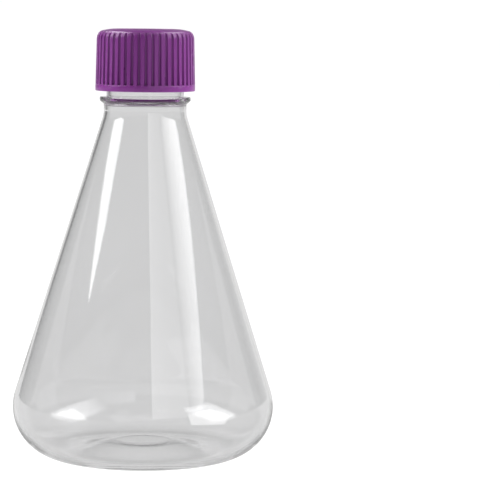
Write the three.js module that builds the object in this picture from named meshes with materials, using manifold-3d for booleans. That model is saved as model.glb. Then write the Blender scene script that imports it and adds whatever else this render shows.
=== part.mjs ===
// One-litre Erlenmeyer shake flask: a clear moulded flask and a vented screw cap.
// Millimetres, +Z up. The origin is the centre of the foot ring, on the surface the flask stands on.
import * as THREE from "three";
import { mergeVertices } from "three/addons/utils/BufferGeometryUtils.js";
import Module from "manifold-3d";

const wasm = await Module();
wasm.setup();

// ---- Driving dimensions ----------------------------------------------------------------------
const FULL_TURN = 2 * Math.PI;
const QUARTER_TURN = Math.PI / 2;
const PART_GAP = 0.3; // between pieces that lie face to face

// Flask body
const BODY_MAX_RADIUS = 65.5;
const HEEL_RADIUS = 25.5;
const NECK_RADIUS = 20.6;
const CONE_TOP_Z = 172; // where the cone's straight side would meet the neck's
const SHOULDER_RADIUS = 14; // blends the cone into the neck
const WALL = 1.6;
const FLOOR = 2;
const FOOT_INNER_RADIUS = 35;
const PUSH_UP_RADIUS = 12; // the flat centre of the raised floor
const PUSH_UP_HEIGHT = 4.6;
const BODY_SEGMENTS = 72;

// Neck finish, under the cap
const COLLAR_RADIUS = 22.6;
const COLLAR_TOP_Z = 180.8;
const COLLAR_LIP = 1.8; // height of its edge
const COLLAR_BEVEL = 0.2; // its edge bulges this much
const COLLAR_FALL = 0.3; // its top falls this much outwards
const COLLAR_HEIGHT = 3.6; // with the slope under its edge
const FINISH_RADIUS = 19.3; // at the thread's root
const BORE_RADIUS = 17.5;
const BORE_FLARE_HEIGHT = 4.3; // the bore widens to the inside of the neck behind the collar
const RIM_Z = 210.7;
const RIM_ROUNDING = 0.6;

// Thread: 43 mm, right-handed, single start
const THREAD_PITCH = 25.4 / 6;
const THREAD_ROOT_WIDTH = 2.2;
const THREAD_CREST_WIDTH = 0.9;
const NECK_THREAD_CREST = 20.7;
const NECK_THREAD_TURNS = 2;
const NECK_THREAD_START_Z = 198.5;
const CAP_THREAD_CREST = 19.85;
const CAP_THREAD_TURNS = 2;
const CAP_THREAD_DROP = 1.65; // the cap's thread lies this far under the neck's
const CAP_THREAD_START_Z = NECK_THREAD_START_Z - CAP_THREAD_DROP;
const THREAD_ROOT_SINK = 0.4; // how far a thread's root is buried in its wall
const THREAD_STEPS_PER_TURN = 27;
const THREAD_RUN_OUT = 0.09; // of its length, at each end

// Cap
const CAP_BOTTOM_Z = 183.8;
const CAP_TOP_Z = 214.5;
const CAP_BAND_RADIUS = 24.85;
const CAP_BAND_HEIGHT = 2.9;
const CAP_BAND_BEVEL = 0.3;
const CAP_RIB_RADIUS_LOW = 24.75; // the ribs taper from the band to the shoulder
const CAP_RIB_RADIUS_HIGH = 24.25;
const CAP_SHOULDER_WIDTH = 3.5;
const CAP_SHOULDER_HEIGHT = 4.3;
const CAP_CROWN = 0.8; // the top rises this much from the shoulder to the vent
const CAP_BORE_RADIUS = 21.2;
const CAP_BORE_CHAMFER = 0.7;
const CAP_PLATE = 2;
const CAP_SEGMENTS = 90;
const GROOVE_COUNT = 45;
const GROOVE_PHASE = -0.19; // where the first groove stands from +X, in groove spacings
const GROOVE_RADIUS = 0.9;
const GROOVE_SIDES = 6;

// Vent in the cap's top
const VENT_RECESS_RADIUS = 14.6;
const VENT_RECESS_DEPTH = 0.8;
const VENT_RECESS_LIP = 0.4; // the recess's wall leans out this much
const VENT_OUTER_RADIUS = 13;
const VENT_RING_OUTER = 9;
const VENT_RING_INNER = 7.8;
const VENT_HUB_RADIUS = 3.6;
const VENT_SPOKES = 8;
const VENT_SPOKE_WIDTH = 1.4;
const WINDOW_ARC_STEPS = 3;

// Pieces inside the cap
const SEAL_THICKNESS = 1.2;
const SEAL_OUTER_RADIUS = 20.6;
const SEAL_INNER_RADIUS = 16.7;
const MEMBRANE_RADIUS = 16.2;
const MEMBRANE_THICKNESS = 0.3;
const RETAINER_RADIUS = 16.3;
const RETAINER_THICKNESS = 1.2;
const RETAINER_OPENING = 13.4;
const RETAINER_HUB_RADIUS = 3.2;
const DISC_SEGMENTS = 36;

// ---- Shape helpers ---------------------------------------------------------------------------

// Points of an arc in a lathe profile, from one angle to another, each as (radius, height).
function arc(centreR, centreZ, radiusR, radiusZ, from, to, steps) {
  const points = [];
  for (let i = 0; i <= steps; i += 1) {
    const angle = from + ((to - from) * i) / steps;
    const r = centreR + radiusR * Math.cos(angle);
    const z = centreZ + radiusZ * Math.sin(angle);
    points.push(new THREE.Vector2(r, z));
  }
  return points;
}

const point = (r, z) => new THREE.Vector2(r, z);

// A profile of (radius, height) points, turned round the Z axis.
function turned(points, segments) {
  return new THREE.LatheGeometry(points, segments).rotateX(QUARTER_TURN);
}

// A geometry as a manifold-3d solid, for cutting and joining.
function toSolid(geometry) {
  const bare = new THREE.BufferGeometry();
  bare.setAttribute("position", geometry.getAttribute("position"));
  if (geometry.index) {
    bare.setIndex(geometry.index);
  }
  const merged = mergeVertices(bare, 1e-4);
  const vertProperties = new Float32Array(merged.getAttribute("position").array);
  const triVerts = new Uint32Array(merged.index.array);
  return new wasm.Manifold(new wasm.Mesh({ numProp: 3, vertProperties, triVerts }));
}

function toGeometry(solid) {
  const mesh = solid.getMesh();
  const geometry = new THREE.BufferGeometry();
  geometry.setAttribute("position", new THREE.BufferAttribute(mesh.vertProperties, 3));
  geometry.setIndex(new THREE.BufferAttribute(mesh.triVerts, 1));
  geometry.computeVertexNormals();
  return geometry;
}

// A helical ridge of trapezoid section that fades at both ends. It starts as a box with its length
// along X, from root to crest along Y and across the ridge along Z, and is wrapped up the helix.
function threadRidge(rootRadius, crestRadius, turns, startZ) {
  const steps = Math.round(turns * THREAD_STEPS_PER_TURN);
  const ridge = new THREE.BoxGeometry(1, 1, 1, steps, 1, 1);
  const position = ridge.getAttribute("position");
  const outward = Math.sign(crestRadius - rootRadius);
  for (let i = 0; i < position.count; i += 1) {
    const along = position.getX(i) + 0.5;
    const atCrest = position.getY(i) > 0;
    const side = position.getZ(i) > 0 ? 1 : -1;
    const fade = Math.min(1, along / THREAD_RUN_OUT, (1 - along) / THREAD_RUN_OUT);
    const height = fade * (crestRadius - rootRadius);
    const radius = rootRadius + (atCrest ? height : -outward * THREAD_ROOT_SINK);
    const width = atCrest
      ? THREAD_ROOT_WIDTH + fade * (THREAD_CREST_WIDTH - THREAD_ROOT_WIDTH)
      : THREAD_ROOT_WIDTH;
    const angle = along * turns * FULL_TURN;
    position.setXYZ(
      i,
      radius * Math.cos(angle),
      radius * Math.sin(angle),
      startZ + along * turns * THREAD_PITCH + (side * width) / 2,
    );
  }
  // A ridge that faces inward comes out inside out, with a negative volume.
  const solid = toSolid(ridge);
  return solid.volume() < 0 ? toSolid(flipped(ridge)) : solid;
}

function flipped(geometry) {
  const index = geometry.index.array;
  for (let i = 0; i < index.length; i += 3) {
    [index[i + 1], index[i + 2]] = [index[i + 2], index[i + 1]];
  }
  return geometry;
}

// A window between two radii and two spokes of the vent, as a flat outline.
function sector(innerRadius, outerRadius, middle, spokeWidth) {
  const outline = new THREE.Shape();
  const outerHalf = Math.PI / VENT_SPOKES - Math.asin(spokeWidth / 2 / outerRadius);
  const innerHalf = Math.PI / VENT_SPOKES - Math.asin(spokeWidth / 2 / innerRadius);
  outline.absarc(0, 0, outerRadius, middle - outerHalf, middle + outerHalf, false);
  outline.absarc(0, 0, innerRadius, middle + innerHalf, middle - innerHalf, true);
  outline.closePath();
  return outline;
}

function windowMiddles() {
  const middles = [];
  for (let i = 0; i < VENT_SPOKES; i += 1) {
    middles.push(((i + 0.5) * FULL_TURN) / VENT_SPOKES);
  }
  return middles;
}

// ---- Flask body ------------------------------------------------------------------------------

// The slope of the cone's side, tangent to the heel's arc and aimed at the foot of the neck.
function coneSlope() {
  const heelCentre = BODY_MAX_RADIUS - HEEL_RADIUS;
  const rise = CONE_TOP_Z - HEEL_RADIUS;
  const run = heelCentre - NECK_RADIUS;
  return Math.asin(HEEL_RADIUS / Math.hypot(rise, run)) + Math.atan(run / rise);
}

// One side of the wall from the heel to the neck, moved inward by inset.
function sideProfile(inset, neckRadius, heelSteps, shoulderSteps) {
  const slope = coneSlope();
  const heelCentre = BODY_MAX_RADIUS - HEEL_RADIUS;
  const heel = HEEL_RADIUS - inset;
  const heelArc = [
    ...arc(heelCentre, HEEL_RADIUS, heel, heel, -QUARTER_TURN, 0, heelSteps),
    ...arc(heelCentre, HEEL_RADIUS, heel, heel, 0, slope, 2).slice(1),
  ];
  // The shoulder's arc touches the cone's side and the neck's, from outside.
  const bend = SHOULDER_RADIUS + inset;
  const lineOffset =
    heelCentre * Math.cos(slope) + HEEL_RADIUS * Math.sin(slope) + heel + bend;
  const bendR = neckRadius + bend;
  const bendZ = (lineOffset - bendR * Math.cos(slope)) / Math.sin(slope);
  const shoulderArc = arc(
    bendR, bendZ, bend, bend, Math.PI + slope, Math.PI, shoulderSteps,
  );
  return [...heelArc, ...shoulderArc];
}

// One side of the raised floor, from the axis out to the foot, moved up by lift.
function raisedFloor(lift, steps) {
  const points = [point(0, PUSH_UP_HEIGHT + lift)];
  for (let i = 0; i <= steps; i += 1) {
    const part = i / steps;
    const r = PUSH_UP_RADIUS + (FOOT_INNER_RADIUS - PUSH_UP_RADIUS) * part;
    points.push(point(r, (PUSH_UP_HEIGHT * (1 + Math.cos(Math.PI * part))) / 2 + lift));
  }
  return points;
}

function flaskBody() {
  const outside = [
    ...raisedFloor(0, 6),
    ...sideProfile(0, NECK_RADIUS, 7, 3),
    point(NECK_RADIUS, COLLAR_TOP_Z - COLLAR_HEIGHT),
    point(COLLAR_RADIUS - COLLAR_BEVEL, COLLAR_TOP_Z - COLLAR_LIP),
    point(COLLAR_RADIUS, COLLAR_TOP_Z - COLLAR_LIP / 2),
    point(COLLAR_RADIUS - COLLAR_BEVEL, COLLAR_TOP_Z),
    point(FINISH_RADIUS, COLLAR_TOP_Z + COLLAR_FALL),
    ...arc(
      FINISH_RADIUS - RIM_ROUNDING, RIM_Z - RIM_ROUNDING, RIM_ROUNDING, RIM_ROUNDING,
      0, QUARTER_TURN, 2,
    ),
  ];
  const neckInside = NECK_RADIUS - WALL;
  const inside = [
    point(BORE_RADIUS, RIM_Z),
    point(BORE_RADIUS, COLLAR_TOP_Z),
    point(neckInside, COLLAR_TOP_Z - BORE_FLARE_HEIGHT),
    ...sideProfile(WALL, neckInside, 5, 2).reverse(),
    ...raisedFloor(FLOOR, 4).reverse(),
  ];
  const shell = toSolid(turned([...outside, ...inside], BODY_SEGMENTS));
  const thread = threadRidge(
    FINISH_RADIUS, NECK_THREAD_CREST, NECK_THREAD_TURNS, NECK_THREAD_START_Z,
  );
  return toGeometry(shell.add(thread));
}

// ---- Cap shell -------------------------------------------------------------------------------

const plateUndersideZ = CAP_TOP_Z - CAP_PLATE;

// The gentle rise from the shoulder's top to the lip of the vent's recess.
function crown(fromR, toR, steps) {
  const points = [];
  for (let i = 1; i <= steps; i += 1) {
    const part = i / steps;
    const z = CAP_TOP_Z - CAP_CROWN * (1 - Math.sin(part * QUARTER_TURN));
    points.push(point(fromR + (toR - fromR) * part, z));
  }
  return points;
}

function capBlank() {
  const bandTop = CAP_BOTTOM_Z + CAP_BAND_HEIGHT;
  const shoulderFoot = CAP_TOP_Z - CAP_CROWN - CAP_SHOULDER_HEIGHT;
  const shoulderTopR = CAP_RIB_RADIUS_HIGH - CAP_SHOULDER_WIDTH;
  const profile = [
    point(0, plateUndersideZ),
    point(CAP_BORE_RADIUS, plateUndersideZ),
    point(CAP_BORE_RADIUS, CAP_BOTTOM_Z + CAP_BORE_CHAMFER),
    point(CAP_BORE_RADIUS + CAP_BORE_CHAMFER, CAP_BOTTOM_Z),
    point(CAP_BAND_RADIUS, CAP_BOTTOM_Z),
    point(CAP_BAND_RADIUS, bandTop - CAP_BAND_BEVEL),
    point(CAP_RIB_RADIUS_LOW, bandTop),
    ...arc(
      shoulderTopR, shoulderFoot, CAP_SHOULDER_WIDTH, CAP_SHOULDER_HEIGHT,
      0, QUARTER_TURN, 4,
    ),
    ...crown(shoulderTopR, VENT_RECESS_RADIUS + VENT_RECESS_LIP, 3),
    point(VENT_RECESS_RADIUS, CAP_TOP_Z - VENT_RECESS_DEPTH),
    point(0, CAP_TOP_Z - VENT_RECESS_DEPTH),
  ];
  return toSolid(turned(profile, CAP_SEGMENTS));
}

// The grip: upright grooves that run out on the shoulder and stop above the plain band.
function gripGrooves() {
  const footZ = CAP_BOTTOM_Z + CAP_BAND_HEIGHT;
  const height = CAP_TOP_Z - footZ;
  const centreR = (CAP_RIB_RADIUS_LOW + CAP_RIB_RADIUS_HIGH) / 2;
  const one = toSolid(
    new THREE.CylinderGeometry(GROOVE_RADIUS, GROOVE_RADIUS, height, GROOVE_SIDES, 1)
      .rotateX(QUARTER_TURN)
      .translate(centreR, 0, footZ + height / 2),
  );
  const grooves = [];
  for (let i = 0; i < GROOVE_COUNT; i += 1) {
    grooves.push(one.rotate([0, 0, ((i + GROOVE_PHASE) * 360) / GROOVE_COUNT]));
  }
  return grooves.reduce((all, next) => all.add(next));
}

function ventWindows() {
  const rings = [
    [VENT_RING_OUTER, VENT_OUTER_RADIUS],
    [VENT_HUB_RADIUS, VENT_RING_INNER],
  ];
  const outlines = rings.flatMap(([inner, outer]) =>
    windowMiddles().map((middle) => sector(inner, outer, middle, VENT_SPOKE_WIDTH)),
  );
  const cutters = outlines.map((outline) =>
    toSolid(
      new THREE.ExtrudeGeometry(outline, {
        depth: CAP_PLATE * 2,
        bevelEnabled: false,
        curveSegments: WINDOW_ARC_STEPS,
      }).translate(0, 0, CAP_TOP_Z - CAP_PLATE * 1.5),
    ),
  );
  return cutters.reduce((all, next) => all.add(next));
}

function capShell() {
  const thread = threadRidge(
    CAP_BORE_RADIUS, CAP_THREAD_CREST, CAP_THREAD_TURNS, CAP_THREAD_START_Z,
  );
  return toGeometry(
    capBlank().subtract(gripGrooves()).subtract(ventWindows()).add(thread),
  );
}

// ---- Pieces inside the cap -------------------------------------------------------------------

function sealRing() {
  const top = plateUndersideZ - PART_GAP;
  const bottom = top - SEAL_THICKNESS;
  const profile = [
    point(SEAL_INNER_RADIUS, bottom),
    point(SEAL_OUTER_RADIUS, bottom),
    point(SEAL_OUTER_RADIUS, top),
    point(SEAL_INNER_RADIUS, top),
    point(SEAL_INNER_RADIUS, bottom),
  ];
  return turned(profile, DISC_SEGMENTS);
}

function ventMembrane() {
  const top = plateUndersideZ - PART_GAP;
  return new THREE.CylinderGeometry(
    MEMBRANE_RADIUS, MEMBRANE_RADIUS, MEMBRANE_THICKNESS, DISC_SEGMENTS,
  )
    .rotateX(QUARTER_TURN)
    .translate(0, 0, top - MEMBRANE_THICKNESS / 2);
}

function membraneRetainer() {
  const top = plateUndersideZ - 2 * PART_GAP - MEMBRANE_THICKNESS;
  const disc = new THREE.Shape().absarc(0, 0, RETAINER_RADIUS, 0, FULL_TURN, false);
  windowMiddles().forEach((middle) => {
    disc.holes.push(
      sector(RETAINER_HUB_RADIUS, RETAINER_OPENING, middle, VENT_SPOKE_WIDTH),
    );
  });
  return new THREE.ExtrudeGeometry(disc, {
    depth: RETAINER_THICKNESS,
    bevelEnabled: false,
    curveSegments: DISC_SEGMENTS / 6,
  }).translate(0, 0, top - RETAINER_THICKNESS);
}

// ---- Materials and assembly ------------------------------------------------------------------

const clearPlastic = new THREE.MeshStandardMaterial({
  color: 0xd9dcdd, roughness: 0.04, metalness: 0, transparent: true, opacity: 0.3,
});
const purplePlastic = new THREE.MeshStandardMaterial({
  color: 0x6f2a80, roughness: 0.38, metalness: 0,
});
const whiteMembrane = new THREE.MeshStandardMaterial({
  color: 0xf2f2ef, roughness: 0.85, metalness: 0,
});
const naturalPlastic = new THREE.MeshStandardMaterial({
  color: 0xe4e6e4, roughness: 0.5, metalness: 0,
});
const silicone = new THREE.MeshStandardMaterial({
  color: 0xdadcd8, roughness: 0.6, metalness: 0,
});

function piece(name, geometry, material) {
  const mesh = new THREE.Mesh(geometry, material);
  mesh.name = name;
  return mesh;
}

const cap = new THREE.Group();
cap.add(
  piece("cap_shell", capShell(), purplePlastic),
  piece("vent_membrane", ventMembrane(), whiteMembrane),
  piece("membrane_retainer", membraneRetainer(), naturalPlastic),
);

const flask = new THREE.Group();
flask.add(
  piece("flask_body", flaskBody(), clearPlastic),
  piece("seal_ring", sealRing(), silicone),
  cap,
);

export default flask;
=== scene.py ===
import math
import bmesh
import bpy
from mathutils import Matrix, Vector


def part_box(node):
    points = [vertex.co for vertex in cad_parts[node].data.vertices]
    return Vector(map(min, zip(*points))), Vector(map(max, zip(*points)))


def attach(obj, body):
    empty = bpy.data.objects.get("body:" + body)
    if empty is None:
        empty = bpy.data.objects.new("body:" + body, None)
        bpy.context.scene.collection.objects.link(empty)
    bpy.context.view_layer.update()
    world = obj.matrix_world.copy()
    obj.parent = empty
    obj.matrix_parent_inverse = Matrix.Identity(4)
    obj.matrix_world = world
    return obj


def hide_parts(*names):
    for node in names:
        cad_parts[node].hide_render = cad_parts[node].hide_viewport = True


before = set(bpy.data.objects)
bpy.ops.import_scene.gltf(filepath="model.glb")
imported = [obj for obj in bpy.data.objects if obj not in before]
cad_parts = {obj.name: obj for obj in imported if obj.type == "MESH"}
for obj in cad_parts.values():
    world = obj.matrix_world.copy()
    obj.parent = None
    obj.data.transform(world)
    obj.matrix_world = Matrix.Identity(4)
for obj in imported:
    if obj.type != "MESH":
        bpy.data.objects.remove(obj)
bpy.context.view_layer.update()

MM = 0.001
FULL_TURN = 2 * math.pi
HALF_TURN = math.pi
QUARTER_TURN = math.pi / 2
TINY = 1e-6  # two sizes closer than this are the same

# ---- Sizes read from the frame -----------------------------------------------------------------
_, BODY_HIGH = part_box("flask_body")
CAP_LOW, CAP_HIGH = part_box("cap_shell")
SEAL_LOW, SEAL_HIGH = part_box("seal_ring")
MEMBRANE_LOW, MEMBRANE_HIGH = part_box("vent_membrane")
RETAINER_LOW, RETAINER_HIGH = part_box("membrane_retainer")

BODY_RADIUS = BODY_HIGH[0] / MM
RIM_Z = BODY_HIGH[2] / MM
CAP_BOTTOM_Z = CAP_LOW[2] / MM
CAP_TOP_Z = CAP_HIGH[2] / MM
CAP_BAND_RADIUS = CAP_HIGH[0] / MM

# ---- Flask body: the part's source has the same main sizes, and plainer roundings --------------
HEEL_RADIUS = 25.5
NECK_RADIUS = 20.6
CONE_TOP_Z = 172  # where the cone's straight side would meet the neck's
SHOULDER_RADIUS = 14  # blends the cone into the neck
CONE_WALL = 1.6
HEEL_WALL = 2.3  # thicker than in the part's source, as a blown heel is
FLOOR = 2.2  # likewise
FOOT_INNER_RADIUS = 35
PUSH_UP_RADIUS = 12  # the flat centre of the raised floor
PUSH_UP_HEIGHT = 4.6

COLLAR_RADIUS = 22.6
COLLAR_TOP_Z = 180.8
COLLAR_HEIGHT = 3.6
COLLAR_EDGE = 1.7  # from its top to the centre of its lower rounding
COLLAR_ROUNDING = 0.45
COLLAR_FILLET = 0.5  # where its slope meets the neck
COLLAR_FILLET_DROP = 0.2  # its centre is this far under the foot of the slope
NECK_SIDE_DROP = 0.3  # and the neck's straight side ends this far under it
FINISH_RADIUS = 19.3  # at the thread's root
FINISH_FILLET = 0.4  # where the threaded neck meets the collar's top
BORE_RADIUS = 17.5
BORE_FLARE_HEIGHT = 4.3  # the bore widens to the inside of the neck behind the collar
BORE_ROUNDING = 0.3
RIM_ROUNDING = 0.7

# ---- Threads: they start at +X, and start is the height of their middle there ------------------
THREAD_PITCH = 25.4 / 6
THREAD_ROOT_WIDTH = 2.2
THREAD_CREST_WIDTH = 0.9
THREAD_RUN_OUT = 0.09  # of its length, at each end
THREAD_MARGIN = 1.5  # the fine rows of its wall reach this far past its ends
NECK_THREAD_START_Z = 198.5
CAP_THREAD_DROP = 1.65  # the cap's thread lies this far under the neck's
CAP_BORE_RADIUS = 21.2
NECK_THREAD = {"root": FINISH_RADIUS, "crest": 20.7, "turns": 2, "start": NECK_THREAD_START_Z}
CAP_THREAD = {
    "root": CAP_BORE_RADIUS, "crest": 19.85, "turns": 2,
    "start": NECK_THREAD_START_Z - CAP_THREAD_DROP,
}

# ---- Cap ---------------------------------------------------------------------------------------
CAP_BAND_HEIGHT = 2.9
CAP_BAND_BEVEL = ((0, 0.3), (0.04, 0.1))  # (inwards, downwards) from its upper edge
CAP_EDGE_ROUNDING = 0.4
CAP_RIB_RADIUS_LOW = 24.75  # the ribs taper from the band to the shoulder
CAP_RIB_RADIUS_HIGH = 24.25
CAP_SHOULDER_WIDTH = 3.5
CAP_SHOULDER_HEIGHT = 4.3
CAP_SHOULDER_SWEEP = 0.94 * QUARTER_TURN
CAP_CROWN = 0.8  # the top rises this much from the shoulder to the vent
CAP_CROWN_START = 0.3  # outside the centre of the shoulder's curve
CAP_CROWN_END = 0.5  # outside the vent's recess
CAP_BORE_ROUNDING = 0.4
CAP_MOUTH = ((0, 0.9), (0.25, 0.4), (0.7, 0))  # (outwards, upwards) from the foot of the bore
CAP_PLATE = 2
PLATE_BOTTOM_Z = CAP_TOP_Z - CAP_PLATE

GROOVE_COUNT = 45
GROOVE_PHASE = -0.19  # where the first groove stands from +X, in groove spacings
GROOVE_FLOOR_RADIUS = 23.55
GROOVE_FOOT = 0.1  # it starts this far over the band
GROOVE_FOOT_SLOPE = 0.7  # and is full depth this much higher
GROOVE_HEAD = 0.5  # it starts to deepen this far under the shoulder
GROOVE_RUN_OUT = 0.5  # by this much
GROOVE_RUN_OUT_HEIGHT = 4  # over this height
GROOVE_HALF = (  # half a section: (place in groove spacings, depth as a fraction)
    (0.10, 1), (0.18, 0.9), (0.22, 0.6), (0.26, 0.22), (0.29, 0.06), (0.33, 0.01), (0.40, 0),
)
GROOVE_SECTION = (
    (-0.5, 0), *((-place, depth) for place, depth in reversed(GROOVE_HALF)), (0, 1), *GROOVE_HALF,
)

VENT_RECESS_RADIUS = 14.6
VENT_RECESS_DEPTH = 0.8
VENT_RECESS_ROUNDING = 0.35
VENT_SPOKES = 8
VENT_SPOKE_WIDTH = 1.4
VENT_RINGS = ((3.6, 7.8), (9.0, 13.0))  # (inner, outer) radius of each ring of windows
GRILLE_OVERLAP = 0.02  # its rim reaches this far into the recess's wall
GRILLE_ROUNDING = 0.15

# ---- Pieces inside the cap ---------------------------------------------------------------------
SEAL_INNER_RADIUS = 16.7
SEAL_ROUNDING = 0.3
MEMBRANE_ROUNDING = 0.05
RETAINER_RINGS = ((3.2, 13.4),)
RETAINER_ROUNDING = 0.2

# ---- Fineness of the meshes --------------------------------------------------------------------
BODY_COLUMNS = 256
DISC_COLUMNS = 160
FLOOR_ROWS = 28
HEEL_ROWS = 44
CONE_ROWS = 24
SHOULDER_ROWS = 10
FLARE_ROWS = 8
THREAD_ROWS = 64
RIB_ROWS = 10
CAP_SHOULDER_ROWS = 26
CROWN_ROWS = 6
WINDOW_STEPS = 10
ROW_GAP = 1  # from a rounding to the first row of the straight wall beside it


# ---- Profile helpers ---------------------------------------------------------------------------

def arc(centre, radii, start, end, steps):
    """Points of an elliptical arc, both ends included."""
    points = []
    for i in range(steps + 1):
        angle = start + (end - start) * i / steps
        points.append((
            centre[0] + radii[0] * math.cos(angle),
            centre[1] + radii[1] * math.sin(angle),
        ))
    return points


def rounding(r, z, radius, start, end, steps):
    """Points (r, z) of a round arc, such as a rounded edge, both ends included."""
    return arc((r, z), (radius, radius), start, end, steps)


def line(start, end, steps):
    """Points from start towards end, without the end itself."""
    return [
        tuple(a + (b - a) * i / steps for a, b in zip(start, end))
        for i in range(steps)
    ]


def smooth(value):
    """0 to 1 with soft ends, for any value."""
    t = min(1.0, max(0.0, value))
    return t * t * (3 - 2 * t)


def thread_height(angle, z, thread):
    """How far a helical thread stands off its root, as a fraction, at one point of the wall."""
    turn = angle / FULL_TURN
    nearest = round((z - thread["start"]) / THREAD_PITCH - turn) + turn
    if not 0 <= nearest <= thread["turns"]:
        return 0.0
    distance = abs(z - thread["start"] - nearest * THREAD_PITCH)
    root, crest = THREAD_ROOT_WIDTH / 2, THREAD_CREST_WIDTH / 2
    along = nearest / thread["turns"]
    fade = smooth(min(along, 1 - along) / THREAD_RUN_OUT)
    return fade * smooth((root - distance) / (root - crest))


def thread_span(thread):
    """The lowest and highest z of the stretch of wall that carries a thread."""
    foot = thread["start"] - THREAD_MARGIN
    head = thread["start"] + thread["turns"] * THREAD_PITCH + THREAD_MARGIN
    return foot, head


# ---- Mesh helpers ------------------------------------------------------------------------------

def finished_mesh(name, builder):
    """A mesh from a bmesh, which is freed."""
    mesh = bpy.data.meshes.new(name)
    builder.to_mesh(mesh)
    builder.free()
    return mesh


def new_piece(name, mesh, body, node, material):
    """A finished mesh as a piece that stands for a CAD node and rides on its body."""
    for polygon in mesh.polygons:
        polygon.use_smooth = True
    piece = bpy.data.objects.new(name, mesh)
    bpy.context.scene.collection.objects.link(piece)
    piece.data.materials.append(material)
    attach(piece, body)
    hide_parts(node)
    return piece


def even_angles(count):
    return [FULL_TURN * i / count for i in range(count)]


def revolve(name, profile, angles, radius_at=None):
    """A closed (r, z) profile turned round the Z axis. radius_at may change a point's radius."""
    mesh_rows = []
    builder = bmesh.new()
    for row, (r, z) in enumerate(profile):
        if r < TINY:
            mesh_rows.append([builder.verts.new((0, 0, z * MM))])
            continue
        ring = []
        for angle in angles:
            radius = radius_at(row, r, z, angle) if radius_at else r
            x = radius * math.cos(angle) * MM
            y = radius * math.sin(angle) * MM
            ring.append(builder.verts.new((x, y, z * MM)))
        mesh_rows.append(ring)
    pairs = list(zip(mesh_rows, mesh_rows[1:]))
    starts_off_axis = len(mesh_rows[0]) > 1
    if starts_off_axis:
        pairs.append((mesh_rows[-1], mesh_rows[0]))
    count = len(angles)
    for low, high in pairs:
        for i in range(count):
            j = (i + 1) % count
            if len(low) == 1:
                builder.faces.new((low[0], high[j], high[i]))
            elif len(high) == 1:
                builder.faces.new((low[i], low[j], high[0]))
            else:
                builder.faces.new((low[i], low[j], high[j], high[i]))
    bmesh.ops.recalc_face_normals(builder, faces=builder.faces)
    return finished_mesh(name, builder)


def polar_plate(name, radius, rings, bottom_z, top_z):
    """A round plate with a ring of windows between spokes for each (inner, outer) pair."""
    radii = [r for ring in rings for r in ring] + [radius]
    builder = bmesh.new()
    centre = builder.verts.new((0, 0, top_z * MM))
    levels = []
    for r in radii:
        half_spoke = math.asin(VENT_SPOKE_WIDTH / 2 / r)
        sweep = FULL_TURN / VENT_SPOKES - 2 * half_spoke
        ring = []
        for spoke in range(VENT_SPOKES):
            middle = FULL_TURN * spoke / VENT_SPOKES
            ring.append(middle - half_spoke)
            for i in range(WINDOW_STEPS):
                ring.append(middle + half_spoke + sweep * i / WINDOW_STEPS)
        levels.append([
            builder.verts.new((r * math.cos(a) * MM, r * math.sin(a) * MM, top_z * MM))
            for a in ring
        ])
    count = len(levels[0])
    for i in range(count):
        builder.faces.new((centre, levels[0][i], levels[0][(i + 1) % count]))
    for level, (inner, outer) in enumerate(zip(levels, levels[1:])):
        for i in range(count):
            j = (i + 1) % count
            in_window = level % 2 == 0 and i % (WINDOW_STEPS + 1) != 0
            if not in_window:
                builder.faces.new((inner[i], outer[i], outer[j], inner[j]))
    bmesh.ops.delete(
        builder, geom=[v for v in builder.verts if not v.link_faces], context="VERTS"
    )
    walls = bmesh.ops.extrude_face_region(builder, geom=list(builder.faces))
    moved = [v for v in walls["geom"] if isinstance(v, bmesh.types.BMVert)]
    bmesh.ops.translate(builder, vec=(0, 0, (bottom_z - top_z) * MM), verts=moved)
    bmesh.ops.recalc_face_normals(builder, faces=builder.faces)
    return finished_mesh(name, builder)


def round_edges(piece, width):
    """Rounds a piece's sharp edges and keeps its flat faces flat."""
    bevel = piece.modifiers.new("rounded_edges", "BEVEL")
    bevel.width = width * MM
    bevel.segments = 2
    bevel.limit_method = "ANGLE"
    bevel.angle_limit = math.radians(40)
    bevel.harden_normals = True


# ---- Node helpers ------------------------------------------------------------------------------

NOISE_LOW, NOISE_HIGH = 0.3, 0.7  # a noise texture seldom goes past these


def new_material(name):
    material = bpy.data.materials.new(name)
    material.use_nodes = True
    nodes = material.node_tree.nodes
    return material, nodes, material.node_tree.links, nodes["Principled BSDF"]


def glowing_material(name):
    """A material that only glows, and its nodes, links and emission shader."""
    material = bpy.data.materials.new(name)
    material.use_nodes = True
    nodes, links = material.node_tree.nodes, material.node_tree.links
    nodes.clear()
    output = nodes.new("ShaderNodeOutputMaterial")
    emission = nodes.new("ShaderNodeEmission")
    links.new(emission.outputs["Emission"], output.inputs["Surface"])
    return material, nodes, links, emission


def noise(nodes, links, scale, detail=3.0, stretch=(1, 1, 1)):
    """A noise texture in object space, scale in features per metre."""
    coordinates = nodes.new("ShaderNodeTexCoord")
    mapping = nodes.new("ShaderNodeMapping")
    mapping.inputs["Scale"].default_value = stretch
    texture = nodes.new("ShaderNodeTexNoise")
    texture.inputs["Scale"].default_value = scale
    texture.inputs["Detail"].default_value = detail
    links.new(coordinates.outputs["Object"], mapping.inputs["Vector"])
    links.new(mapping.outputs["Vector"], texture.inputs["Vector"])
    return texture.outputs["Fac"]


def ramp(nodes, links, factor, stops):
    """A colour ramp of (position, colour) stops over a factor. One number is a grey."""
    node = nodes.new("ShaderNodeValToRGB")
    elements = node.color_ramp.elements
    while len(elements) < len(stops):
        elements.new(0.5)
    for element, (position, colour) in zip(elements, stops):
        element.position = position
        element.color = (*colour, 1) if isinstance(colour, tuple) else (colour, colour, colour, 1)
    links.new(factor, node.inputs["Fac"])
    return node.outputs["Color"]


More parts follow.
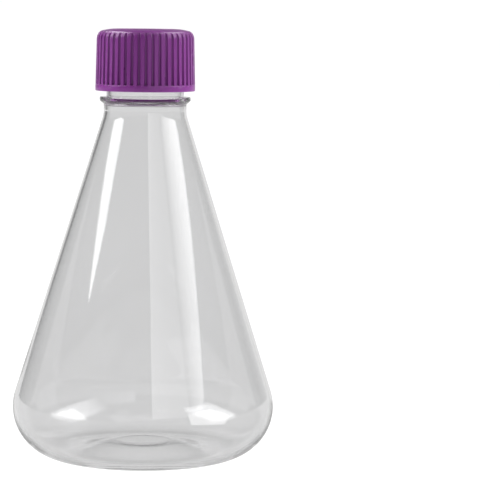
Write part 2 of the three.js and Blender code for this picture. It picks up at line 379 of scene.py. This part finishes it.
def spread(nodes, links, factor, low, high):
    """A noise's usual range, mapped to between two values, such as two roughnesses."""
    node = nodes.new("ShaderNodeMapRange")
    node.inputs["From Min"].default_value = NOISE_LOW
    node.inputs["From Max"].default_value = NOISE_HIGH
    node.inputs["To Min"].default_value = low
    node.inputs["To Max"].default_value = high
    links.new(factor, node.inputs["Value"])
    return node.outputs["Result"]


def bump(nodes, links, height, strength, distance, below=None):
    """A bump, distance in metres, on top of another one if below is given."""
    node = nodes.new("ShaderNodeBump")
    node.inputs["Strength"].default_value = strength
    node.inputs["Distance"].default_value = distance
    links.new(height, node.inputs["Height"])
    if below:
        links.new(below, node.inputs["Normal"])
    return node.outputs["Normal"]


# ---- Materials ---------------------------------------------------------------------------------

def clear_plastic():
    """Clear blow-moulded plastic: a slight grey cast and the faint ripple of its mould."""
    material, nodes, links, shader = new_material("clear_plastic")
    tint = ramp(nodes, links, noise(nodes, links, 9, 2), (
        (0.35, (0.92, 0.92, 0.923)),
        (0.65, (0.94, 0.94, 0.943)),
    ))
    links.new(tint, shader.inputs["Base Color"])
    shader.inputs["Roughness"].default_value = 0.015
    shader.inputs["IOR"].default_value = 1.57
    shader.inputs["Transmission Weight"].default_value = 1.0
    ripple = bump(nodes, links, noise(nodes, links, 38, 1, (1, 1, 0.5)), 0.35, 0.00022)
    links.new(ripple, shader.inputs["Normal"])
    return material


def purple_plastic():
    """Satin moulded polypropylene, with fine grain and faint flow marks."""
    material, nodes, links, shader = new_material("purple_plastic")
    flow = noise(nodes, links, 120, 4, (1, 1, 0.35))
    colour = ramp(nodes, links, flow, (
        (0.3, (0.110, 0.013, 0.129)),
        (0.7, (0.130, 0.018, 0.150)),
    ))
    links.new(colour, shader.inputs["Base Color"])
    links.new(spread(nodes, links, flow, 0.26, 0.34), shader.inputs["Roughness"])
    shader.inputs["IOR"].default_value = 1.49
    shader.inputs["Subsurface Weight"].default_value = 0.12
    shader.inputs["Subsurface Radius"].default_value = (1.0, 0.35, 1.0)
    shader.inputs["Subsurface Scale"].default_value = 0.0008
    grain = bump(nodes, links, noise(nodes, links, 4200, 2), 0.12, 0.00004)
    sink = bump(nodes, links, noise(nodes, links, 260, 2), 0.12, 0.00012, grain)
    links.new(sink, shader.inputs["Normal"])
    return material


def membrane_fibre():
    """White non-woven filter membrane: matt, with a felted fibre surface."""
    material, nodes, links, shader = new_material("vent_membrane")
    fibre = noise(nodes, links, 2600, 6)
    long_fibre = noise(nodes, links, 1500, 5, (1, 0.15, 1))
    colour = ramp(nodes, links, fibre, (
        (0.3, (0.70, 0.70, 0.68)),
        (0.6, (0.88, 0.88, 0.86)),
    ))
    links.new(colour, shader.inputs["Base Color"])
    links.new(spread(nodes, links, fibre, 0.75, 0.95), shader.inputs["Roughness"])
    coarse = bump(nodes, links, long_fibre, 0.5, 0.00008)
    links.new(bump(nodes, links, fibre, 0.6, 0.00008, coarse), shader.inputs["Normal"])
    return material


def natural_plastic():
    """Milky, unpigmented polypropylene."""
    material, nodes, links, shader = new_material("natural_plastic")
    cloud = noise(nodes, links, 180, 3)
    colour = ramp(nodes, links, cloud, (
        (0.3, (0.70, 0.71, 0.70)),
        (0.7, (0.80, 0.81, 0.80)),
    ))
    links.new(colour, shader.inputs["Base Color"])
    links.new(spread(nodes, links, cloud, 0.4, 0.5), shader.inputs["Roughness"])
    shader.inputs["Subsurface Weight"].default_value = 0.5
    shader.inputs["Subsurface Radius"].default_value = (1.0, 1.0, 0.9)
    shader.inputs["Subsurface Scale"].default_value = 0.0015
    grain = bump(nodes, links, noise(nodes, links, 3600, 2), 0.15, 0.00004)
    links.new(grain, shader.inputs["Normal"])
    return material


def silicone():
    """Soft off-white silicone with a dusty, slightly uneven surface."""
    material, nodes, links, shader = new_material("silicone")
    dust = noise(nodes, links, 700, 5)
    colour = ramp(nodes, links, dust, (
        (0.3, (0.60, 0.61, 0.58)),
        (0.7, (0.72, 0.73, 0.70)),
    ))
    links.new(colour, shader.inputs["Base Color"])
    links.new(spread(nodes, links, dust, 0.5, 0.65), shader.inputs["Roughness"])
    shader.inputs["Subsurface Weight"].default_value = 0.4
    shader.inputs["Subsurface Radius"].default_value = (1.0, 1.0, 0.9)
    shader.inputs["Subsurface Scale"].default_value = 0.0012
    links.new(bump(nodes, links, dust, 0.2, 0.00005), shader.inputs["Normal"])
    return material


# ---- Flask body --------------------------------------------------------------------------------

def cone_slope():
    """The cone's half-angle: tangent to the heel and aimed at the foot of the neck."""
    rise = CONE_TOP_Z - HEEL_RADIUS
    run = BODY_RADIUS - HEEL_RADIUS - NECK_RADIUS
    return math.asin(HEEL_RADIUS / math.hypot(rise, run)) + math.atan(run / rise)


def side_profile(heel_wall, cone_wall):
    """The side from the foot to the neck, moved inward by a wall that may thin out upwards."""
    slope = cone_slope()
    centre = BODY_RADIUS - HEEL_RADIUS
    points = []
    for i in range(HEEL_ROWS + 1):
        angle = -QUARTER_TURN + (slope + QUARTER_TURN) * i / HEEL_ROWS
        wall = heel_wall + (cone_wall - heel_wall) * smooth(i / HEEL_ROWS)
        heel = HEEL_RADIUS - wall
        points.append((centre + heel * math.cos(angle), HEEL_RADIUS + heel * math.sin(angle)))
    bend = SHOULDER_RADIUS + cone_wall
    bend_r = NECK_RADIUS + SHOULDER_RADIUS
    offset = centre * math.cos(slope) + HEEL_RADIUS * math.sin(slope)
    offset += HEEL_RADIUS + SHOULDER_RADIUS
    bend_z = (offset - bend_r * math.cos(slope)) / math.sin(slope)
    shoulder = rounding(bend_r, bend_z, bend, HALF_TURN + slope, HALF_TURN, SHOULDER_ROWS)
    return points[:-1] + line(points[-1], shoulder[0], CONE_ROWS) + shoulder


def push_up(height):
    """The raised floor, from the axis outwards: a flat centre and a long soft slope."""
    points = [(0, height)]
    for i in range(1, FLOOR_ROWS + 1):
        r = FOOT_INNER_RADIUS * i / FLOOR_ROWS
        slope = smooth((r - PUSH_UP_RADIUS) / (FOOT_INNER_RADIUS - PUSH_UP_RADIUS))
        points.append((r, height - PUSH_UP_HEIGHT * slope))
    return points


def collar_profile():
    """From the neck's side, out along the collar's slope, up its edge and back to the finish."""
    foot_z = COLLAR_TOP_Z - COLLAR_HEIGHT
    edge_r = COLLAR_RADIUS - COLLAR_ROUNDING
    points = rounding(
        NECK_RADIUS + COLLAR_FILLET, foot_z - COLLAR_FILLET_DROP, COLLAR_FILLET,
        HALF_TURN, 0.75 * HALF_TURN, 3,
    )
    points += rounding(
        edge_r, COLLAR_TOP_Z - COLLAR_EDGE, COLLAR_ROUNDING, -0.25 * HALF_TURN, 0, 4,
    )
    points += rounding(
        edge_r, COLLAR_TOP_Z - COLLAR_ROUNDING, COLLAR_ROUNDING, 0, QUARTER_TURN, 5,
    )
    points += rounding(
        FINISH_RADIUS + FINISH_FILLET, COLLAR_TOP_Z + FINISH_FILLET, FINISH_FILLET,
        -QUARTER_TURN, -HALF_TURN, 4,
    )
    return points


def flask_profile():
    """The whole section: under the floor, up the outside, over the rim and down the inside."""
    thread_foot, thread_head = thread_span(NECK_THREAD)
    neck_top = COLLAR_TOP_Z - COLLAR_HEIGHT - NECK_SIDE_DROP
    outside = push_up(PUSH_UP_HEIGHT)
    outside += side_profile(0, 0)
    outside += line(outside[-1], (NECK_RADIUS, neck_top), 3)[1:]
    outside += collar_profile()
    outside += line((FINISH_RADIUS, COLLAR_TOP_Z + ROW_GAP), (FINISH_RADIUS, thread_foot), 8)
    outside += line((FINISH_RADIUS, thread_foot), (FINISH_RADIUS, thread_head), THREAD_ROWS)
    outside += rounding(
        FINISH_RADIUS - RIM_ROUNDING, RIM_Z - RIM_ROUNDING, RIM_ROUNDING, 0, QUARTER_TURN, 6,
    )
    inside = rounding(
        BORE_RADIUS + BORE_ROUNDING, RIM_Z - BORE_ROUNDING, BORE_ROUNDING,
        QUARTER_TURN, HALF_TURN, 3,
    )
    inside += line((BORE_RADIUS, RIM_Z - ROW_GAP), (BORE_RADIUS, COLLAR_TOP_Z), 6)
    flare = NECK_RADIUS - CONE_WALL - BORE_RADIUS
    for i in range(FLARE_ROWS + 1):
        part = i / FLARE_ROWS
        inside.append((BORE_RADIUS + flare * smooth(part), COLLAR_TOP_Z - BORE_FLARE_HEIGHT * part))
    inside += side_profile(HEEL_WALL, CONE_WALL)[::-1]
    inside += push_up(PUSH_UP_HEIGHT + FLOOR)[::-1]
    return outside + inside


def build_flask_body(material):
    def radius_at(row, r, z, angle):
        if abs(r - FINISH_RADIUS) > TINY:
            return r
        height = thread_height(angle, z, NECK_THREAD)
        return r + height * (NECK_THREAD["crest"] - NECK_THREAD["root"])

    mesh = revolve("flask_body_fine", flask_profile(), even_angles(BODY_COLUMNS), radius_at)
    body = new_piece("flask_body_fine", mesh, "flask", "flask_body", material)
    body.visible_shadow = False  # the clear walls let the lamps through to the inside of the cap


# ---- Cap ---------------------------------------------------------------------------------------

def cap_angles():
    return [
        (groove + GROOVE_PHASE + place) * FULL_TURN / GROOVE_COUNT
        for groove in range(GROOVE_COUNT) for place, _ in GROOVE_SECTION
    ]


def cap_outside():
    """The outside from the lower edge to the recess in the top: (r, z) points."""
    band_top = CAP_BOTTOM_Z + CAP_BAND_HEIGHT
    shoulder_r = CAP_RIB_RADIUS_HIGH - CAP_SHOULDER_WIDTH
    shoulder_top = CAP_TOP_Z - CAP_CROWN
    shoulder_z = shoulder_top - CAP_SHOULDER_HEIGHT
    rib_foot = (CAP_RIB_RADIUS_LOW, band_top + ROW_GAP)
    points = rounding(
        CAP_BAND_RADIUS - CAP_EDGE_ROUNDING, CAP_BOTTOM_Z + CAP_EDGE_ROUNDING, CAP_EDGE_ROUNDING,
        -QUARTER_TURN, 0, 4,
    )
    points += [(CAP_BAND_RADIUS - inwards, band_top - down) for inwards, down in CAP_BAND_BEVEL]
    points += line((CAP_RIB_RADIUS_LOW, band_top), rib_foot, 8)
    points += line(rib_foot, (CAP_RIB_RADIUS_HIGH, shoulder_z), RIB_ROWS)
    points += arc(
        (shoulder_r, shoulder_z), (CAP_SHOULDER_WIDTH, CAP_SHOULDER_HEIGHT),
        0, CAP_SHOULDER_SWEEP, CAP_SHOULDER_ROWS,
    )
    crown_start = shoulder_r + CAP_CROWN_START
    crown_end = VENT_RECESS_RADIUS + CAP_CROWN_END
    for i in range(1, CROWN_ROWS + 1):
        part = i / CROWN_ROWS
        r = crown_start + (crown_end - crown_start) * part
        points.append((r, shoulder_top + CAP_CROWN * math.sin(part * QUARTER_TURN)))
    points += rounding(
        VENT_RECESS_RADIUS + VENT_RECESS_ROUNDING, CAP_TOP_Z - VENT_RECESS_ROUNDING,
        VENT_RECESS_ROUNDING, QUARTER_TURN, HALF_TURN, 4,
    )[1:]
    return points


def cap_profile():
    """The whole section, and how many of its points belong to the outside."""
    thread_foot, thread_head = thread_span(CAP_THREAD)
    bore = CAP_BORE_RADIUS
    ceiling_edge = bore - CAP_BORE_ROUNDING
    mouth = [(bore + outwards, CAP_BOTTOM_Z + up) for outwards, up in CAP_MOUTH]
    points = cap_outside()
    outside_rows = len(points)
    points += [(VENT_RECESS_RADIUS, PLATE_BOTTOM_Z)]
    points += line(
        (VENT_RECESS_RADIUS + CAP_BORE_ROUNDING, PLATE_BOTTOM_Z), (ceiling_edge, PLATE_BOTTOM_Z), 3,
    )
    points += rounding(
        ceiling_edge, PLATE_BOTTOM_Z - CAP_BORE_ROUNDING, CAP_BORE_ROUNDING, QUARTER_TURN, 0, 3,
    )
    points += line((bore, thread_head), (bore, thread_foot), THREAD_ROWS)
    points += line((bore, thread_foot), mouth[0], 4)
    points += mouth
    return points, outside_rows


def groove_cut(angle):
    """How deep a groove is at one angle, as a fraction of its full depth."""
    spacings = angle * GROOVE_COUNT / FULL_TURN - GROOVE_PHASE
    place = spacings - round(spacings)
    _, depth = min(GROOVE_SECTION, key=lambda known: abs(known[0] - place))
    return depth


def build_cap_shell(material):
    profile, outside_rows = cap_profile()
    groove_foot = CAP_BOTTOM_Z + CAP_BAND_HEIGHT + GROOVE_FOOT
    groove_head = CAP_TOP_Z - CAP_CROWN - CAP_SHOULDER_HEIGHT - GROOVE_HEAD
    groove_depth = CAP_BAND_RADIUS - GROOVE_FLOOR_RADIUS

    def radius_at(row, r, z, angle):
        if row < outside_rows:
            cut = groove_cut(angle) * smooth((z - groove_foot) / GROOVE_FOOT_SLOPE)
            run_out = GROOVE_RUN_OUT * smooth((z - groove_head) / GROOVE_RUN_OUT_HEIGHT)
            return min(r, CAP_BAND_RADIUS - (groove_depth + run_out) * cut)
        if abs(r - CAP_BORE_RADIUS) > TINY:
            return r
        height = thread_height(angle % FULL_TURN, z, CAP_THREAD)
        return r - height * (CAP_THREAD["root"] - CAP_THREAD["crest"])

    mesh = revolve("cap_shell_fine", profile, cap_angles(), radius_at)
    new_piece("cap_shell_fine", mesh, "cap", "cap_shell", material)
    plate = polar_plate(
        "cap_vent_grille", VENT_RECESS_RADIUS + GRILLE_OVERLAP, VENT_RINGS,
        PLATE_BOTTOM_Z, CAP_TOP_Z - VENT_RECESS_DEPTH,
    )
    grille = new_piece("cap_vent_grille", plate, "cap", "cap_shell", material)
    round_edges(grille, GRILLE_ROUNDING)


# ---- Pieces inside the cap ---------------------------------------------------------------------

def ring_profile(low, high, inner_radius, corner_radius):
    """A flat ring's section with rounded corners, counter-clockwise."""
    outer, bottom, top = high[0] / MM, low[2] / MM, high[2] / MM
    corners = (
        (outer - corner_radius, bottom + corner_radius, -QUARTER_TURN),
        (outer - corner_radius, top - corner_radius, 0),
        (inner_radius + corner_radius, top - corner_radius, QUARTER_TURN),
        (inner_radius + corner_radius, bottom + corner_radius, HALF_TURN),
    )
    points = []
    for r, z, start in corners:
        points += rounding(r, z, corner_radius, start, start + QUARTER_TURN, 3)
    return points


def build_seal_ring(material):
    profile = ring_profile(SEAL_LOW, SEAL_HIGH, SEAL_INNER_RADIUS, SEAL_ROUNDING)
    mesh = revolve("seal_ring_fine", profile, even_angles(DISC_COLUMNS))
    new_piece("seal_ring_fine", mesh, "seal", "seal_ring", material)


def build_vent_membrane(material):
    radius, bottom, top = MEMBRANE_HIGH[0] / MM, MEMBRANE_LOW[2] / MM, MEMBRANE_HIGH[2] / MM
    first_ring, edge = radius / 8, radius - MEMBRANE_ROUNDING
    profile = [(0, bottom)]
    profile += line((first_ring, bottom), (edge, bottom), 7)
    profile += [(edge, bottom), (radius, bottom + MEMBRANE_ROUNDING)]
    profile += [(radius, top - MEMBRANE_ROUNDING)]
    profile += line((edge, top), (first_ring, top), 7)
    profile += [(0, top)]
    mesh = revolve("vent_membrane_fine", profile, even_angles(DISC_COLUMNS))
    new_piece("vent_membrane_fine", mesh, "cap", "vent_membrane", material)


def build_membrane_retainer(material):
    plate = polar_plate(
        "membrane_retainer_fine", RETAINER_HIGH[0] / MM, RETAINER_RINGS,
        RETAINER_LOW[2] / MM, RETAINER_HIGH[2] / MM,
    )
    retainer = new_piece(
        "membrane_retainer_fine", plate, "cap", "membrane_retainer", material,
    )
    round_edges(retainer, RETAINER_ROUNDING)


# ---- Studio: sizes in metres, brightnesses with white as 1 -------------------------------------

STUDIO_GREY = 0.775  # what the flask's walls show of the studio
CEILING_GREY = 0.2
FLOOR_HALF_WIDTH = 6.0
FLOOR_GLOW = 0.95
SHEET_Z = -0.0004  # the grey floor, just under the flask
FLOOR_Z = -0.0005  # the white floor, just under that
# Painted shadow in a ring round the foot on the grey floor, and a slightly brighter painted ring
# outside it.
FLOOR_TONES = (  # (radius in millimetres, share of the studio's grey)
    (30, 1.0), (37, 0.9), (46, 0.82), (60, 0.96), (85, 1.05), (150, 1.05), (260, 1.0),
)
DOME_RADIUS = 8.0
DOME_GLOW = 1.02
SURROUND_RADIUS = 5.8
SURROUND_HEIGHT = 1.6
SURROUND_STEPS = 32
SURROUND_START, SURROUND_END = math.radians(150), math.radians(390)

SOFTBOX_X = 1.0
LOW_SOFTBOX_X = 0.15
# Outlines of the upright softboxes, as (y, z) points.
RIGHT_SOFTBOX = ((0.5, 0.60), (-0.07, 0.527), (-0.45, 0.50), (-1.1, 0.41), (-1.1, 1.5), (0.5, 1.5))
LEFT_SOFTBOX = (
    (0.5, 0.60), (0.14, 0.55), (-0.02, 0.527), (-0.37, 0.486), (-0.455, 0.60), (-0.47, 0.69),
    (-0.85, 1.4), (0.5, 1.4),
)
HIGH_SOFTBOX = ((-0.2, 1.5), (2.0, 1.5), (2.0, 3.0), (-0.2, 3.0))
RIGHT_LOW_SOFTBOX = ((-0.22, 0.080), (-0.12, 0.079), (-0.07, 0.03), (-0.08, 0.001), (-0.20, 0.001))
LEFT_LOW_SOFTBOX = (
    (-0.067, 0.036), (-0.112, 0.075), (-0.150, 0.056), (-0.168, 0.026), (-0.128, 0.026),
)
FRONT_FILL = ((0.22, -1.58, 0.25), (1.25, -1.05, 0.25), (1.25, -1.05, 1.15), (0.22, -1.58, 1.15))

WASH_X = 1.2
BOUNCE_OFFSET = 0.055


def hide_from(thing, *rays):
    """Switches off kinds of ray that would otherwise meet a studio object or a lamp."""
    for ray in rays:
        setattr(thing, f"visible_{ray}", False)


def studio_object(name, mesh, material):
    """A mesh that is part of the studio, not of the flask."""
    mesh.materials.append(material)
    thing = bpy.data.objects.new(name, mesh)
    bpy.context.scene.collection.objects.link(thing)
    return thing


def flat_sheet(name, z, material):
    """A square sheet that lies flat round the origin."""
    half = FLOOR_HALF_WIDTH
    corners = [(-half, -half, z), (half, -half, z), (half, half, z), (-half, half, z)]
    mesh = bpy.data.meshes.new(name)
    mesh.from_pydata(corners, [], [(0, 1, 2, 3)])
    return studio_object(name, mesh, material)


def build_floor():
    """A wide floor that glows nearly white and reaches the horizon."""
    material, nodes, links, shader = new_material("studio_floor")
    paint = ramp(nodes, links, noise(nodes, links, 3, 2), ((0.3, 0.11), (0.7, 0.13)))
    links.new(paint, shader.inputs["Base Color"])
    shader.inputs["Roughness"].default_value = 0.9
    shader.inputs["Emission Color"].default_value = (1, 1, 1, 1)
    shader.inputs["Emission Strength"].default_value = FLOOR_GLOW
    flat_sheet("studio_floor", FLOOR_Z, material)


def build_grey_floor():
    """What the clear walls show of the floor: light grey, and dimmer where the foot shades it.

    Only reflected and refracted light meets this sheet, so the flask stands out from the white.
    """
    material, nodes, links, emission = glowing_material("grey_floor")
    coordinates = nodes.new("ShaderNodeTexCoord")
    distance = nodes.new("ShaderNodeVectorMath")
    distance.operation = "LENGTH"
    links.new(coordinates.outputs["Object"], distance.inputs[0])
    stops = [(radius * MM, tone * STUDIO_GREY) for radius, tone in FLOOR_TONES]
    links.new(ramp(nodes, links, distance.outputs["Value"], stops), emission.inputs["Color"])
    hide_from(flat_sheet("grey_floor", SHEET_Z, material), "camera", "diffuse", "shadow")


def build_surround():
    """A low grey screen round the front and the sides, for views from there through the flask.

    Only refracted light meets it, and it leaves out the part of the circle behind the flask.
    """
    ring = arc(
        (0, 0), (SURROUND_RADIUS, SURROUND_RADIUS), SURROUND_START, SURROUND_END, SURROUND_STEPS,
    )
    above = len(ring)
    mesh = bpy.data.meshes.new("studio_surround")
    mesh.from_pydata(
        [(x, y, z) for z in (0, SURROUND_HEIGHT) for x, y in ring], [],
        [(i, i + 1, i + 1 + above, i + above) for i in range(SURROUND_STEPS)],
    )
    material, _, _, emission = glowing_material("studio_surround")
    emission.inputs["Strength"].default_value = STUDIO_GREY
    screen = studio_object("studio_surround", mesh, material)
    hide_from(screen, "camera", "diffuse", "glossy", "shadow")


def build_backdrop():
    """A white dome round the whole studio, which only the camera sees."""
    builder = bmesh.new()
    bmesh.ops.create_icosphere(builder, subdivisions=3, radius=DOME_RADIUS)
    material, _, _, emission = glowing_material("studio_backdrop")
    emission.inputs["Strength"].default_value = DOME_GLOW
    dome = studio_object("studio_backdrop", finished_mesh("studio_backdrop", builder), material)
    hide_from(dome, "diffuse", "glossy", "transmission", "shadow")


def build_world():
    """A grey horizon behind the flask, wider on its right, under a dim ceiling."""
    world = bpy.data.worlds.new("studio")
    bpy.context.scene.world = world
    world.use_nodes = True
    nodes, links = world.node_tree.nodes, world.node_tree.links
    coordinates = nodes.new("ShaderNodeTexCoord")
    split = nodes.new("ShaderNodeSeparateXYZ")
    links.new(coordinates.outputs["Generated"], split.inputs["Vector"])
    low = ramp(nodes, links, split.outputs["Z"], ((0.1, 1), (0.3, 0)))
    behind = ramp(nodes, links, split.outputs["Y"], ((0.1, 0), (0.4, 1)))
    sideways = nodes.new("ShaderNodeMapRange")  # X from -1 to 1, as 0 to 1
    sideways.inputs["From Min"].default_value = -1
    links.new(split.outputs["X"], sideways.inputs["Value"])
    across = ramp(nodes, links, sideways.outputs["Result"], (
        (0.28, 0), (0.34, 1), (0.75, 1), (0.88, 0),
    ))
    lit = low
    for part in (behind, across):
        both = nodes.new("ShaderNodeMath")
        both.operation = "MULTIPLY"
        links.new(lit, both.inputs[0])
        links.new(part, both.inputs[1])
        lit = both.outputs["Value"]
    shade = ramp(nodes, links, lit, ((0, CEILING_GREY), (1, STUDIO_GREY)))
    links.new(shade, nodes["Background"].inputs["Color"])
    nodes["Background"].inputs["Strength"].default_value = 1.0


def glow(name, strengths, axis):
    """A softbox's glow: strengths are evenly spaced from its low to its high end along one axis."""
    material, nodes, links, emission = glowing_material(name)
    coordinates = nodes.new("ShaderNodeTexCoord")
    split = nodes.new("ShaderNodeSeparateXYZ")
    links.new(coordinates.outputs["Generated"], split.inputs["Vector"])
    brightest = max(strengths)
    steps = len(strengths) - 1
    stops = [(i / steps, value / brightest) for i, value in enumerate(strengths)]
    links.new(ramp(nodes, links, split.outputs[axis], stops), emission.inputs["Color"])
    emission.inputs["Strength"].default_value = brightest
    return material


def softbox(name, corners, strengths, axis="Y", inside=True):
    """A flat softbox. The camera looks past it, so that it can stand anywhere round the flask.

    With inside off, only the flask's outer surface reflects it, as one clean highlight.
    """
    mesh = bpy.data.meshes.new(name)
    mesh.from_pydata(corners, [], [tuple(range(len(corners)))])
    box = studio_object(name, mesh, glow(name, strengths, axis))
    hide_from(box, "camera")
    if not inside:
        hide_from(box, "transmission")


def upright(x, outline):
    """The corners of an upright outline of (y, z) points, x metres to the right of the flask."""
    return [(x, y, z) for y, z in outline]


def area_light(name, place, target, size, power):
    """A square lamp that faces a target, power in watts."""
    data = bpy.data.lights.new(name, "AREA")
    data.shape = "RECTANGLE"
    data.size = data.size_y = size
    data.energy = power
    light = bpy.data.objects.new(name, data)
    light.location = place
    light.rotation_euler = (Vector(target) - Vector(place)).to_track_quat("-Z", "Y").to_euler()
    bpy.context.scene.collection.objects.link(light)
    return light


def build_softboxes():
    right = upright(SOFTBOX_X, RIGHT_SOFTBOX)
    left = upright(-SOFTBOX_X, LEFT_SOFTBOX)
    softbox("right_softbox", right, (0.4, 2.0, 3.5, 4.0, 4.0))
    softbox("left_softbox", left, (4.5, 4.5))
    for name, x, strength in (
        ("left_high_softbox", -SOFTBOX_X, 7.5), ("right_high_softbox", SOFTBOX_X, 5.0),
    ):
        softbox(name, upright(x, HIGH_SOFTBOX), (strength, strength), inside=False)
    low_right = upright(LOW_SOFTBOX_X, RIGHT_LOW_SOFTBOX)
    low_left = upright(-LOW_SOFTBOX_X, LEFT_LOW_SOFTBOX)
    softbox("right_low_softbox", low_right, (4.5, 4.5), inside=False)
    softbox("left_low_softbox", low_left, (4.0, 4.0), inside=False)
    softbox("front_fill", FRONT_FILL, (1.4, 1.0, 0.8), "X")


def build_lamps():
    """A lamp overhead, a wash on each side, and four that light the inside of the cap."""
    area_light("top_light", place=(0.1, -0.2, 1.5), target=(0, 0, 0.1), size=0.8, power=2)
    for name, x in (("left_wash", -WASH_X), ("right_wash", WASH_X)):
        wash = area_light(name, place=(x, 0.1, 0.5), target=(0, 0, 0.2), size=0.5, power=20)
        hide_from(wash, "camera", "glossy", "transmission")
    for side_x, side_y in ((-1, -1), (1, -1), (1, 1), (-1, 1)):
        place = (side_x * BOUNCE_OFFSET, side_y * BOUNCE_OFFSET, 0.1)
        bounce = area_light("cap_bounce", place, target=(0, 0, 0.19), size=0.03, power=0.05)
        hide_from(bounce, "camera", "glossy", "transmission")


def build_studio():
    build_floor()
    build_grey_floor()
    build_surround()
    build_backdrop()
    build_world()
    build_softboxes()
    build_lamps()


# ---- Camera: places in metres, turns in degrees ------------------------------------------------

CAMERA_DISTANCE = 1.19
CAMERA_HEIGHT = 0.2237
CAMERA_YAW = 2.553
CAMERA_PITCH = 5.717
CAMERA_ROLL = 0.63
CAMERA_LENS = 171.65
CAMERA_SENSOR = 36


def build_camera():
    """A long lens just over the cap's height, looking down and to the right of the flask."""
    data = bpy.data.cameras.new("camera")
    data.lens = CAMERA_LENS
    data.sensor_width = CAMERA_SENSOR
    data.clip_end = 50
    camera = bpy.data.objects.new("camera", data)
    turn = (
        Matrix.Rotation(-math.radians(CAMERA_YAW), 4, "Z")
        @ Matrix.Rotation(QUARTER_TURN - math.radians(CAMERA_PITCH), 4, "X")
        @ Matrix.Rotation(math.radians(CAMERA_ROLL), 4, "Z")
    )
    camera.matrix_world = Matrix.Translation((0, -CAMERA_DISTANCE, CAMERA_HEIGHT)) @ turn
    bpy.context.scene.collection.objects.link(camera)
    bpy.context.scene.camera = camera


# ---- Build -------------------------------------------------------------------------------------

purple = purple_plastic()
build_flask_body(clear_plastic())
build_cap_shell(purple)
build_seal_ring(silicone())
build_vent_membrane(membrane_fibre())
build_membrane_retainer(natural_plastic())

build_studio()
build_camera()

scene = bpy.context.scene
scene.view_settings.view_transform = "Standard"
# Light crosses many walls before it leaves the flask, most of all round its raised floor.
scene.cycles.max_bounces = 64
scene.cycles.transmission_bounces = 48
scene.cycles.glossy_bounces = 48
scene.cycles.transparent_max_bounces = 16
